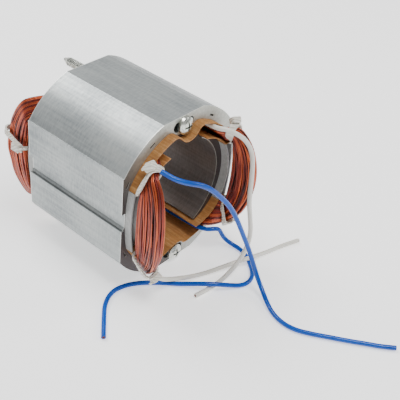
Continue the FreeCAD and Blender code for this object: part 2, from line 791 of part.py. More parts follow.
LEADS = {
    "lead_blue_left": (
        (-28.4, -46.4, 77.2), (-27.5, -49.2, 76.3), (-26.1, -52.6, 75.2), (-23.6, -55.8, 74.0),
        (-20.2, -58.4, 72.7), (-15.8, -60.5, 71.0), (-10.4, -62.8, 67.1), (-4.1, -64.8, 60.1),
        (0.4, -66.8, 54.0), (4.4, -68.8, 46.2), (8.4, -71.6, 35.0), (11.7, -74.4, 25.0),
        (13.9, -77.2, 15.6), (13.9, -81.3, 8.2), (12.2, -86.4, 4.0), (9.1, -91.9, 2.1),
        (5.7, -97.9, 1.25), (3.7, -103.7, 1.25), (3.2, -109.5, 1.25), (4.4, -115.2, 1.25),
        (8.0, -122.1, 1.25), (12.3, -129.0, 1.25), (17.2, -137.2, 1.25), (22.4, -145.0, 1.25),
        (26.3, -151.3, 1.25), (30.8, -156.8, 1.25)),
    "lead_white_right": (
        (17.4, -30.5, 78.8), (17.2, -37.2, 79.0), (17.6, -41.8, 79.2), (20.0, -44.9, 79.1),
        (22.4, -47.6, 77.7), (25.5, -50.0, 75.4), (28.4, -52.2, 72.1), (30.2, -54.4, 67.5),
        (30.4, -56.3, 62.2), (29.3, -57.7, 56.6), (28.4, -58.8, 50.2), (28.0, -59.3, 43.2),
        (27.8, -60.2, 36.6), (27.8, -61.6, 30.6), (27.9, -63.0, 24.6), (27.2, -64.3, 18.8),
        (24.4, -65.3, 13.6), (20.2, -65.9, 9.4), (15.6, -65.9, 6.0), (10.1, -65.7, 3.2),
        (3.6, -65.5, 1.25), (-4.6, -65.1, 1.25), (-14.2, -63.6, 1.25)),
    "lead_blue_right": (
        (17.6, 36.0, 11.5), (17.9, 14.0, 11.3), (17.7, -10.0, 11.4), (17.9, -28.0, 11.3),
        (18.1, -41.2, 11.7), (21.4, -44.6, 10.8), (25.8, -45.8, 9.3), (28.9, -46.2, 6.4),
        (30.4, -47.6, 3.4), (31.6, -51.2, 1.6), (31.9, -56.0, 1.25), (30.4, -61.4, 1.25),
        (27.0, -66.6, 1.25), (23.2, -71.4, 1.25), (18.8, -75.2, 1.25), (13.4, -76.5, 1.25),
        (8.5, -74.9, 1.4), (3.5, -71.3, 2.5), (-2.1, -67.2, 3.9), (-6.6, -62.4, 3.9),
        (-10.2, -57.2, 2.6), (-14.2, -51.5, 1.25), (-20.3, -44.4, 1.25), (-27.3, -37.8, 1.25),
        (-34.7, -33.4, 1.25), (-43.0, -31.9, 1.25), (-51.5, -35.7, 1.25), (-59.3, -43.3, 1.25),
        (-67.8, -52.1, 1.25)),
    "lead_white_left": (
        (-27.6, -47.4, 12.2), (-23.2, -47.6, 7.7), (-17.6, -48.9, 4.9), (-9.7, -52.3, 3.4),
        (-0.6, -55.0, 1.6), (8.6, -58.4, 1.9), (17.1, -62.3, 3.5), (24.9, -65.6, 4.3),
        (33.3, -67.6, 3.2), (43.0, -68.9, 1.5), (53.0, -70.9, 1.25), (62.6, -74.3, 1.25)),
}


def lead_path(label, points):
    """Join straight runs by arcs, and print the arcs' radii."""
    level = size("half_height")
    corners = [Vector(across, along, up - level) for across, along, up in points]
    runs = [second - first for first, second in zip(corners, corners[1:])]
    edges = []
    radii = []
    start = corners[0]
    for index, corner in enumerate(corners[1:-1]):
        before, after = runs[index], runs[index + 1]
        trim = ARC_SHARE * min(before.Length, after.Length)
        into = Vector(before).normalize()
        out = Vector(after).normalize()
        half_turn = into.getAngle(out) / 2
        radii.append(trim / math.tan(half_turn))
        begin = corner - into * trim
        finish = corner + out * trim
        bisector = (out - into).normalize()
        centre = corner + bisector * (trim / math.sin(half_turn))
        nearest = centre - bisector * radii[-1]
        edges.append(Part.LineSegment(start, begin).toShape())
        edges.append(Part.Arc(begin, nearest, finish).toShape())
        start = finish
    edges.append(Part.LineSegment(start, corners[-1]).toShape())
    wire = Part.Wire(edges)
    print(label, "length", round(wire.Length, 1),
          "radii", " ".join(f"{radius:.1f}" for radius in radii))
    return wire


def lead_solid(label, points):
    """Sweep a round section along the lead's path."""
    wire = lead_path(label, points)
    radius = size("lead_diameter") / 2
    first = wire.Edges[0]
    start = first.valueAt(first.FirstParameter)
    circle = Part.Circle(start, first.tangentAt(first.FirstParameter), radius)
    solid = wire.makePipeShell([Part.Wire([circle.toShape()])], True, False)
    expected = math.pi * radius ** 2 * wire.Length
    print(label, "volume", round(solid.Volume, 1), "section times length", round(expected, 1))
    return solid


# ----------------------------------------------------------------------------------------
# The stator
# ----------------------------------------------------------------------------------------

HALF_TURN_Y = (Vector(0, 1, 0), 180.0)
HALF_TURN_Z = (Vector(0, 0, 1), 180.0)
HALF_TURN_X = (Vector(1, 0, 0), 180.0)

build_lamination_stack()
build_liner("slot_liner_top", 0.0)
build_liner("slot_liner_bottom", 180.0, slanted=True)
for corner_name, rotation in (("front_right", None), ("front_left", HALF_TURN_Y),
                              ("rear_left", HALF_TURN_Z), ("rear_right", HALF_TURN_X)):
    build_saddle(f"end_insulator_{corner_name}", rotation)
build_screw("fixing_screw_top", "+")
build_screw("fixing_screw_bottom", "-")

coil_shape = CoilShape()
right_coil = coil_solid(coil_shape)
add_feature("field_coil_right", right_coil)
add_feature("field_coil_left", right_coil, HALF_TURN_Z)

# place along the end turn, slant, place of the head round the section, end and side
TIES = {
    "cable_tie_front_right_top": (0.25, 0.08, 0.07, "upper right"),
    "cable_tie_front_right_bottom": (0.30, 0.04, 0.12, "lower right"),
    "cable_tie_front_left_top": (0.25, 0.08, 0.07, "upper left"),
    "cable_tie_front_left_bottom": (0.34, 0.0, 0.0, "lower left"),
    "cable_tie_rear_left": (0.80, 0.0, 0.40, "rear left"),
    "cable_tie_rear_right": (0.80, 0.0, 0.40, "rear right"),
}
for label, (share, slant, head_share, place) in TIES.items():
    solid = tie_solid(coil_shape, share, slant, head_share)
    if "lower" in place:
        solid = solid.mirror(Vector(), Vector(0, 0, 1))
    if "rear" in place:
        solid = solid.mirror(Vector(), Vector(0, 1, 0))
    if "left" in place:
        solid = solid.mirror(Vector(), Vector(1, 0, 0))
    add_feature(label, solid)

for label, points in LEADS.items():
    add_feature(label, lead_solid(label, points))

doc.recompute()
for item in doc.Objects:
    if "Invalid" in item.State or "Error" in item.State:
        raise RuntimeError(f"{item.Name}: {item.State}")
os.makedirs("parts", exist_ok=True)
for item in doc.Objects:
    if item.TypeId in ("PartDesign::Body", "Part::Feature"):
        shape = item.Shape
        if shape.isNull() or not shape.isValid() or len(shape.Solids) != 1:
            raise RuntimeError(f"{item.Label} is not one valid solid")
        shape.exportStep(f"parts/{item.Label}.step")
        print(item.Label, len(shape.Faces), "faces", round(shape.Volume, 1), shape.BoundBox)
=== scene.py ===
"""Dress the wound field stator of a two-pole universal motor.

Units are metres in the part's own frame: X across the stack, Y along the bore with the
screw heads at -Y, Z up, and the floor at z = 0. The sizes below repeat those of the part.
"""

from __future__ import annotations

import bisect
import logging
import math
import random
from dataclasses import dataclass, field
from enum import Enum
from typing import Sequence

import bpy
from mathutils import Matrix, Vector

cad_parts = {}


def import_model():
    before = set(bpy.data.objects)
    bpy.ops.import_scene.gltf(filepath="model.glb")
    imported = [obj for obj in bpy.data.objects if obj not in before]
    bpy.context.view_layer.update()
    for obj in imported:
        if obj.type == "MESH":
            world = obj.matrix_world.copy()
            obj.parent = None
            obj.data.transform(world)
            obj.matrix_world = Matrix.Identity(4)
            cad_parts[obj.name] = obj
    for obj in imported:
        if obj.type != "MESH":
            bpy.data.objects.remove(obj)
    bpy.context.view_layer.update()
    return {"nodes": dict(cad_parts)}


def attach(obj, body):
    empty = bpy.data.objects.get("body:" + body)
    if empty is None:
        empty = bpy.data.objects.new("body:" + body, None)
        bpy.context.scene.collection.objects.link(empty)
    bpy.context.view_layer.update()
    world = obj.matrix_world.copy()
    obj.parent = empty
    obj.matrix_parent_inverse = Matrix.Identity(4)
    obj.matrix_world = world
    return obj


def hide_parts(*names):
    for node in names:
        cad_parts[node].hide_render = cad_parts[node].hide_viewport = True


LOG = logging.getLogger("stator")
MM = 0.001
NUMBERS = {"data_type": "FLOAT"}
COLOURS = {"data_type": "RGBA"}


def linear(hex_colour: str) -> tuple[float, float, float, float]:
    """Turn an sRGB colour into the numbers that a shader takes.

    Args:
        hex_colour: The colour as #RRGGBB.

    Returns:
        Linear red, green, blue and full alpha.
    """
    values = [int(hex_colour[i:i + 2], 16) / 255 for i in (1, 3, 5)]
    parts = [v / 12.92 if v <= 0.04045 else ((v + 0.055) / 1.055) ** 2.4 for v in values]
    return (parts[0], parts[1], parts[2], 1.0)


def add_node(tree: bpy.types.NodeTree, kind: str, settings: dict[str, object] | None = None,
             inputs: dict[str | int, object] | None = None,
             stops: Sequence[tuple[float, str]] = ()) -> bpy.types.Node:
    """Add a shader node with its settings, its inputs and the stops of its colour ramp.

    Args:
        tree: The node tree that gets the node.
        kind: The node's type name.
        settings: Properties of the node.
        inputs: Values of its sockets, or what links to them: an output socket, or a node
            for its first output.
        stops: Places and hex colours, for a colour ramp.

    Returns:
        The new node.
    """
    node = tree.nodes.new(kind)
    for name, value in (settings or {}).items():
        setattr(node, name, value)
    for name, value in (inputs or {}).items():
        if isinstance(value, bpy.types.Node):
            value = value.outputs[0]
        if isinstance(value, bpy.types.NodeSocket):
            tree.links.new(value, node.inputs[name])
        else:
            node.inputs[name].default_value = value
    if stops:
        elements = node.color_ramp.elements
        while len(elements) < len(stops):
            elements.new(0.5)
        for element, (place, colour) in zip(elements, stops):
            element.position = place
            element.color = linear(colour)
    return node


def new_material(name: str) -> tuple[bpy.types.Material, bpy.types.NodeTree, bpy.types.Node]:
    """Make a material.

    Args:
        name: Its name.

    Returns:
        The material, its node tree and its shader.
    """
    material = bpy.data.materials.new(name)
    material.use_nodes = True
    tree = material.node_tree
    return material, tree, tree.nodes["Principled BSDF"]


# ----------------------------------------------------------------------------------------
# Finishes
# ----------------------------------------------------------------------------------------


@dataclass(frozen=True)
class LaminationSteel:
    """Punched electrical steel: the edges of the sheets make a fine cross hatch on the
    sides, the end sheets are smooth, and the bore and the pole ends get painted shade."""

    side_dark: str = "#868C8E"
    side_middle: str = "#A3A8A8"
    side_pale: str = "#B4B8B6"
    end_dark: str = "#A5A7A1"
    end_pale: str = "#BDBFB8"
    # painted shade: darkens the end sheets towards the lower left and on the pole ends
    painted_shade: str = "#4E4746"
    # painted highlight: a pale line along the sides' ends, where the edge would catch the light
    edge_highlight: str = "#DADCD8"
    # painted shade: near black in the staking marks and other recesses of the end sheets
    recess_shade: str = "#2A2626"
    # painted shade: the bore wall is coloured darker than the same steel outside
    bore_shade_dark: str = "#625D5B"
    bore_shade_middle: str = "#7A7674"
    bore_shade_pale: str = "#8B8784"
    sheet_pitch: float = 0.9 * MM  # real sheets are 0.5 mm; drawn coarser so that they show
    hatch_width: float = 3.33 * MM
    streak_grain: tuple[float, float, float] = (1.43 * MM, 55.6 * MM, 1.43 * MM)
    cloud_grain: tuple[float, float, float] = (29.4 * MM, 45.5 * MM, 29.4 * MM)
    # painted highlight: a pale ring round the bore's rim on the end sheets
    rim_highlight_width: float = 0.45 * MM
    edge_highlight_width: float = 0.35 * MM
    recess_shade_depth: float = 0.15 * MM
    shade_across: float = 14.0  # how fast the painted shade clears to the right, per metre
    shade_up: float = 8.0  # and upwards
    shade_start: float = 0.14
    shade_range: float = 0.42
    end_facing: float = 0.8  # a face whose normal lies this far along the bore is an end
    bore_radius: float = 30.0 * MM
    pole_radius: float = 35.5 * MM
    axis_height: float = 45.0 * MM
    half_length: float = 34.0 * MM

    def build(self) -> bpy.types.Material:
        """Build the steel, by where a point lies on the stack.

        Returns:
            The material.
        """
        material, tree, shader = new_material("electrical_steel")
        coordinates = add_node(tree, "ShaderNodeTexCoord")
        place = coordinates.outputs["Object"]
        hatch, streaks, cloud = self.add_grain(tree, place)
        fine = add_node(tree, "ShaderNodeMix", NUMBERS, {0: 0.5, 2: hatch, 3: streaks})
        tone = add_node(tree, "ShaderNodeMix", NUMBERS, {0: 0.45, 2: fine, 3: cloud})
        spot = add_node(tree, "ShaderNodeSeparateXYZ", inputs={"Vector": place})
        reach = add_node(tree, "ShaderNodeMath", {"operation": "ABSOLUTE"}, {
            0: spot.outputs["Y"]})
        centred = add_node(tree, "ShaderNodeVectorMath", {"operation": "MULTIPLY_ADD"}, {
            0: place, 1: (1.0, 0.0, 1.0), 2: (0.0, 0.0, -self.axis_height)})
        radius = add_node(tree, "ShaderNodeVectorMath", {"operation": "LENGTH"}, {
            0: centred}).outputs["Value"]
        normal = add_node(tree, "ShaderNodeSeparateXYZ", inputs={
            "Vector": coordinates.outputs["Normal"]})
        facing = add_node(tree, "ShaderNodeMath", {"operation": "ABSOLUTE"}, {
            0: normal.outputs["Y"]})
        is_end = add_node(tree, "ShaderNodeMath", {"operation": "GREATER_THAN"}, {
            0: facing, 1: self.end_facing})

        outer = add_node(tree, "ShaderNodeMix", COLOURS, {
            0: is_end, 6: self.side_colour(tree, tone, reach),
            7: self.end_colour(tree, spot, reach, radius, (cloud, streaks))}).outputs[2]
        inside = add_node(tree, "ShaderNodeMath", {"operation": "LESS_THAN"}, {
            0: radius, 1: self.pole_radius})
        wall = add_node(tree, "ShaderNodeMath", {"operation": "SUBTRACT"}, {
            0: inside, 1: is_end})
        # painted shade: the bore wall gets darker colours than the outer steel
        in_bore = add_node(tree, "ShaderNodeMath", {"operation": "MAXIMUM"}, {0: wall, 1: 0.0})
        bore = add_node(tree, "ShaderNodeValToRGB", inputs={"Fac": tone}, stops=(
            (0.35, self.bore_shade_dark), (0.55, self.bore_shade_middle), (0.7, self.bore_shade_pale)))
        colour = add_node(tree, "ShaderNodeMix", COLOURS, {0: in_bore, 6: outer, 7: bore})
        tree.links.new(colour.outputs[2], shader.inputs["Base Color"])
        rough = add_node(tree, "ShaderNodeMapRange", inputs={
            "Value": tone, "From Min": 0.3, "From Max": 0.7, "To Min": 0.5, "To Max": 0.36})
        tree.links.new(rough.outputs[0], shader.inputs["Roughness"])
        bump = add_node(tree, "ShaderNodeBump", inputs={
            "Height": fine, "Strength": 0.25, "Distance": 0.1 * MM})
        tree.links.new(bump.outputs["Normal"], shader.inputs["Normal"])
        shader.inputs["Metallic"].default_value = 0.6
        return material

    def add_grain(self, tree: bpy.types.NodeTree,
                  place: bpy.types.NodeSocket) -> list[bpy.types.Node]:
        """Add the three grains of the steel.

        Args:
            tree: The node tree.
            place: Where a point lies.

        Returns:
            The hatch of the sheets' edges, the streaks along the stack and the clouds.
        """
        hatch_grain = (self.hatch_width, self.sheet_pitch, self.hatch_width)
        grains = []
        for sizes, detail in ((hatch_grain, 2.0), (self.streak_grain, 3.0),
                              (self.cloud_grain, 4.0)):
            mapped = add_node(tree, "ShaderNodeMapping", inputs={
                "Vector": place, "Scale": [1.0 / size for size in sizes]})
            grains.append(add_node(tree, "ShaderNodeTexNoise", inputs={
                "Vector": mapped, "Scale": 1.0, "Detail": detail}))
        return grains

    def side_colour(self, tree: bpy.types.NodeTree, tone: bpy.types.Node,
                    reach: bpy.types.Node) -> bpy.types.NodeSocket:
        """Colour the outer sides, with a painted edge highlight along their ends.

        Args:
            tree: The node tree.
            tone: The mixed grain.
            reach: How far along the bore a point lies from the middle.

        Returns:
            The colour.
        """
        side = add_node(tree, "ShaderNodeValToRGB", inputs={"Fac": tone}, stops=(
            (0.36, self.side_dark), (0.5, self.side_middle), (0.62, self.side_pale)))
        # painted highlight: pale along the ends of the sides, as a lit edge
        edge_highlight = add_node(tree, "ShaderNodeMath", {"operation": "GREATER_THAN"}, {
            0: reach, 1: self.half_length - self.edge_highlight_width})
        return add_node(tree, "ShaderNodeMix", COLOURS, {
            0: edge_highlight, 6: side, 7: linear(self.edge_highlight)}).outputs[2]

    def end_colour(self, tree: bpy.types.NodeTree, spot: bpy.types.Node,
                   reach: bpy.types.Node, radius: bpy.types.NodeSocket,
                   grain: tuple[bpy.types.Node, bpy.types.Node]) -> bpy.types.NodeSocket:
        """Colour the end sheets: painted shade towards the lower left and on the poles, a
        painted highlight round the bore's rim, and painted shade in the staking marks.

        Args:
            tree: The node tree.
            spot: The point's X, Y and Z.
            reach: How far along the bore it lies from the middle.
            radius: How far it lies from the bore's axis.
            grain: The clouds and the streaks.

        Returns:
            The colour.
        """
        # painted shade: the end sheets darken towards the lower left, and all over the pole
        # ends where yoke is 0
        tilt = add_node(tree, "ShaderNodeMath", {"operation": "MULTIPLY_ADD"}, {
            0: spot.outputs["X"], 1: self.shade_across, 2: self.shade_start})
        lift = add_node(tree, "ShaderNodeMath", {"operation": "MULTIPLY_ADD"}, {
            0: spot.outputs["Z"], 1: self.shade_up, 2: tilt})
        pale = add_node(tree, "ShaderNodeMapRange", {"interpolation_type": "SMOOTHSTEP"}, {
            "Value": lift, "From Min": 0.0, "From Max": self.shade_range})
        yoke = add_node(tree, "ShaderNodeMath", {"operation": "GREATER_THAN"}, {
            0: radius, 1: self.pole_radius})
        # painted highlight: the thin ring round the bore's rim gets the pale end colour
        rim = add_node(tree, "ShaderNodeMath", {"operation": "LESS_THAN"}, {
            0: radius, 1: self.bore_radius + self.rim_highlight_width})
        clear = add_node(tree, "ShaderNodeMath", {"operation": "MULTIPLY"}, {0: pale, 1: yoke})
        lit = add_node(tree, "ShaderNodeMath", {"operation": "MAXIMUM"}, {0: clear, 1: rim})
        sheen = add_node(tree, "ShaderNodeMix", NUMBERS, {0: 0.5, 2: grain[0], 3: grain[1]})
        bright = add_node(tree, "ShaderNodeValToRGB", inputs={"Fac": sheen}, stops=(
            (0.35, self.end_dark), (0.6, self.end_pale)))
        sheet = add_node(tree, "ShaderNodeMix", COLOURS, {
            0: lit, 6: linear(self.painted_shade), 7: bright}).outputs[2]
        # painted shade: end-facing surfaces sunk below the end sheet are coloured near black
        sunk = add_node(tree, "ShaderNodeMath", {"operation": "LESS_THAN"}, {
            0: reach, 1: self.half_length - self.recess_shade_depth})
        return add_node(tree, "ShaderNodeMix", COLOURS, {
            0: sunk, 6: sheet, 7: linear(self.recess_shade)}).outputs[2]


@dataclass(frozen=True)
class Pressboard:
    """Creased insulating board: matte tan fibre with fine creases along the slot."""

    dark: str = "#8A5A2E"
    base: str = "#A8733C"
    pale: str = "#C99A62"
    crease_grain: tuple[float, float, float] = (1.11 * MM, 16.7 * MM, 1.11 * MM)
    fibre_grain: float = 2.38 * MM

    def build(self) -> bpy.types.Material:
        """Build the board.

        Returns:
            The material.
        """
        material, tree, shader = new_material("pressboard")
        place = add_node(tree, "ShaderNodeTexCoord").outputs["Object"]
        mapped = add_node(tree, "ShaderNodeMapping", inputs={
            "Vector": place, "Scale": [1.0 / size for size in self.crease_grain]})
        creases = add_node(tree, "ShaderNodeTexNoise", inputs={
            "Vector": mapped, "Scale": 1.0, "Detail": 3.0, "Roughness": 0.65})
        fibre = add_node(tree, "ShaderNodeTexNoise", inputs={
            "Vector": place, "Scale": 1.0 / self.fibre_grain, "Detail": 5.0, "Roughness": 0.7})
        mixed = add_node(tree, "ShaderNodeMix", NUMBERS, {0: 0.35, 2: creases, 3: fibre})
        colour = add_node(tree, "ShaderNodeValToRGB", inputs={"Fac": mixed}, stops=(
            (0.3, self.dark), (0.5, self.base), (0.7, self.pale)))
        tree.links.new(colour.outputs["Color"], shader.inputs["Base Color"])
        bump = add_node(tree, "ShaderNodeBump", inputs={
            "Height": mixed, "Strength": 0.5, "Distance": 0.15 * MM})
        tree.links.new(bump.outputs["Normal"], shader.inputs["Normal"])
        shader.inputs["Roughness"].default_value = 0.72
        return material


@dataclass(frozen=True)
class MouldedNylon:
    """Injection-moulded glass-filled nylon: pale grey with a faint grain."""

    shade: str = "#9B9C9A"
    base: str = "#ABACAA"
    grain: float = 1.43 * MM

    def build(self) -> bpy.types.Material:
        """Build the nylon of the end insulators.

        Returns:
            The material.
        """
        material, tree, shader = new_material("glass_filled_nylon")
        place = add_node(tree, "ShaderNodeTexCoord").outputs["Object"]
        grain = add_node(tree, "ShaderNodeTexNoise", inputs={
            "Vector": place, "Scale": 1.0 / self.grain, "Detail": 3.0})
        colour = add_node(tree, "ShaderNodeValToRGB", inputs={"Fac": grain}, stops=(
            (0.35, self.shade), (0.65, self.base)))
        tree.links.new(colour.outputs["Color"], shader.inputs["Base Color"])
        bump = add_node(tree, "ShaderNodeBump", inputs={
            "Height": grain, "Strength": 0.2, "Distance": 0.05 * MM})
        tree.links.new(bump.outputs["Normal"], shader.inputs["Normal"])
        shader.inputs["Roughness"].default_value = 0.48
        return material


@dataclass(frozen=True)
class NaturalNylon:
    """Unfilled nylon of a cable tie: milky, slightly translucent, with a soft sheen."""

    milk_dark: str = "#DDD8CC"
    base: str = "#EFEBE0"
    # painted shade in the grooves between the ribs
    groove_shade: str = "#C9C4B8"
    milk_grain: float = 2.86 * MM
    rib_pitch: float = 1.1 * MM
    wave_rate: float = 20.0  # radians that a wave texture turns for each unit of its scale

    def build(self) -> bpy.types.Material:
        """Build the nylon of the cable ties.

        Returns:
            The material.
        """
        material, tree, shader = new_material("natural_nylon")
        place = add_node(tree, "ShaderNodeTexCoord").outputs["Object"]
        milk = add_node(tree, "ShaderNodeTexNoise", inputs={
            "Vector": place, "Scale": 1.0 / self.milk_grain, "Detail": 2.0})
        colour = add_node(tree, "ShaderNodeValToRGB", inputs={"Fac": milk}, stops=(
            (0.3, self.milk_dark), (0.6, self.base)))
        ribs = add_node(tree, "ShaderNodeTexWave", {"bands_direction": "DIAGONAL"}, {
            "Vector": place, "Scale": math.tau / (self.wave_rate * self.rib_pitch)})
        # painted shade: the grooves between the ribs are coloured darker
        ribbed = add_node(tree, "ShaderNodeMix", COLOURS, {
            0: ribs.outputs["Fac"], 6: linear(self.groove_shade), 7: colour})
        tree.links.new(ribbed.outputs[2], shader.inputs["Base Color"])
        bump = add_node(tree, "ShaderNodeBump", inputs={
            "Height": ribs.outputs["Fac"], "Strength": 0.6, "Distance": 0.3 * MM})
        tree.links.new(bump.outputs["Normal"], shader.inputs["Normal"])
        shader.inputs["Roughness"].default_value = 0.38
        shader.inputs["Subsurface Weight"].default_value = 0.25
        shader.inputs["Subsurface Radius"].default_value = (2.0 * MM, 1.8 * MM, 1.4 * MM)
        return material


@dataclass(frozen=True)
class EnamelledCopper:
    """Magnet wire: bright drawn copper under a clear reddish enamel."""

    # the deep stop is painted shade, for the inner layer of wires and the core
    deep: str = "#320A08"
    middle: str = "#86281A"
    bright: str = "#D0602F"
    patch_grain: float = 8.33 * MM

    def build(self) -> bpy.types.Material:
        """Build the copper; each wire carries its own tint in an attribute.

        Returns:
            The material.
        """
        material, tree, shader = new_material("enamelled_copper")
        tint = add_node(tree, "ShaderNodeAttribute", {"attribute_name": "wire_tint"})
        place = add_node(tree, "ShaderNodeTexCoord").outputs["Object"]
        patch = add_node(tree, "ShaderNodeTexNoise", inputs={
            "Vector": place, "Scale": 1.0 / self.patch_grain, "Detail": 2.0})
        mixed = add_node(tree, "ShaderNodeMix", NUMBERS, {
            0: 0.35, 2: tint.outputs["Fac"], 3: patch})
        colour = add_node(tree, "ShaderNodeValToRGB", inputs={"Fac": mixed}, stops=(
            (0.15, self.deep), (0.5, self.middle), (0.85, self.bright)))
        tree.links.new(colour.outputs["Color"], shader.inputs["Base Color"])
        shader.inputs["Metallic"].default_value = 0.75
        shader.inputs["Roughness"].default_value = 0.32
        shader.inputs["Coat Weight"].default_value = 0.5
        shader.inputs["Coat Roughness"].default_value = 0.15
        return material


@dataclass(frozen=True)
class StrandedCopper:
    """Cut strands of a lead's core: dull copper."""

    base: str = "#8A4A2C"
    # painted shade: the dark stop, towards the edges of the strands' cells, stands for the gaps
    # between the strands
    dark: str = "#3C1E14"
    strand_width: float = 0.22 * MM

    def build(self) -> bpy.types.Material:
        """Build the copper of the cut ends.

        Returns:
            The material.
        """
        material, tree, shader = new_material("stranded_copper")
        place = add_node(tree, "ShaderNodeTexCoord").outputs["Object"]
        strands = add_node(tree, "ShaderNodeTexVoronoi", inputs={
            "Vector": place, "Scale": 1.0 / self.strand_width})
        colour = add_node(tree, "ShaderNodeValToRGB", inputs={
            "Fac": strands.outputs["Distance"]}, stops=((0.3, self.base), (0.7, self.dark)))
        tree.links.new(colour.outputs["Color"], shader.inputs["Base Color"])
        shader.inputs["Metallic"].default_value = 0.9
        shader.inputs["Roughness"].default_value = 0.45
        return material


@dataclass(frozen=True)
class ZincPlate:
    """Zinc-plated steel: bright, slightly yellowish, with fine machining marks."""

    dull: str = "#B4B8B0"
    base: str = "#DEE0D8"
    mark_grain: float = 2.0 * MM
    thread_pitch: float = 0.9 * MM
    thread_start: float = 36.0 * MM

    def build(self) -> bpy.types.Material:
        """Build the plating, with the thread's ridges behind the stack.

        Returns:
            The material.
        """
        material, tree, shader = new_material("zinc_plated_steel")
        place = add_node(tree, "ShaderNodeTexCoord").outputs["Object"]
        marks = add_node(tree, "ShaderNodeTexNoise", inputs={
            "Vector": place, "Scale": 1.0 / self.mark_grain, "Detail": 4.0})
        colour = add_node(tree, "ShaderNodeValToRGB", inputs={"Fac": marks}, stops=(
            (0.3, self.dull), (0.6, self.base)))
        tree.links.new(colour.outputs["Color"], shader.inputs["Base Color"])
        rough = add_node(tree, "ShaderNodeMapRange", inputs={
            "Value": marks, "To Min": 0.16, "To Max": 0.34})
        tree.links.new(rough.outputs[0], shader.inputs["Roughness"])
        along = add_node(tree, "ShaderNodeSeparateXYZ", inputs={"Vector": place}).outputs["Y"]
        turns = add_node(tree, "ShaderNodeMath", {"operation": "PINGPONG"}, {
            0: along, 1: self.thread_pitch / 2})
        behind = add_node(tree, "ShaderNodeMath", {"operation": "GREATER_THAN"}, {
            0: along, 1: self.thread_start})
        ridge = add_node(tree, "ShaderNodeMath", {"operation": "MULTIPLY"}, {
            0: turns, 1: behind})
        bump = add_node(tree, "ShaderNodeBump", inputs={
            "Height": ridge, "Strength": 1.0, "Distance": 1.0})
        tree.links.new(bump.outputs["Normal"], shader.inputs["Normal"])
        shader.inputs["Metallic"].default_value = 1.0
        return material


@dataclass(frozen=True)
class LeadInsulation:
    """Extruded PVC insulation: smooth, glossy, with faint drawing marks."""

    name: str
    base: str
    shade: str
    drift_grain: float = 11.1 * MM

    def build(self) -> bpy.types.Material:
        """Build the insulation in its colour.

        Returns:
            The material.
        """
        material, tree, shader = new_material(self.name)
        place = add_node(tree, "ShaderNodeTexCoord").outputs["Object"]
        drift = add_node(tree, "ShaderNodeTexNoise", inputs={
            "Vector": place, "Scale": 1.0 / self.drift_grain, "Detail": 2.0})
        colour = add_node(tree, "ShaderNodeValToRGB", inputs={"Fac": drift}, stops=(
            (0.3, self.shade), (0.6, self.base)))
        tree.links.new(colour.outputs["Color"], shader.inputs["Base Color"])
        shader.inputs["Roughness"].default_value = 0.2
        shader.inputs["Specular IOR Level"].default_value = 0.35
        return material


# ----------------------------------------------------------------------------------------
# Field coils
# ----------------------------------------------------------------------------------------


def mix(first: float, second: float, share: float) -> float:
    """Return the value that lies this share of the way from first to second."""
    return first + (second - first) * share


def smooth(value: float) -> float:
    """Ease from 0 to 1, and stay at 0 before and at 1 after."""
    value = min(max(value, 0.0), 1.0)
    return value * value * (3.0 - 2.0 * value)


class Side(Enum):
    """Which pole a coil lies round."""

    RIGHT = 1
    LEFT = -1


@dataclass(frozen=True)
class WireLayer:
    """One layer of wires round a bundle, and how bright its wires are."""

    count: int
    depth: float
    tints: tuple[float, float]


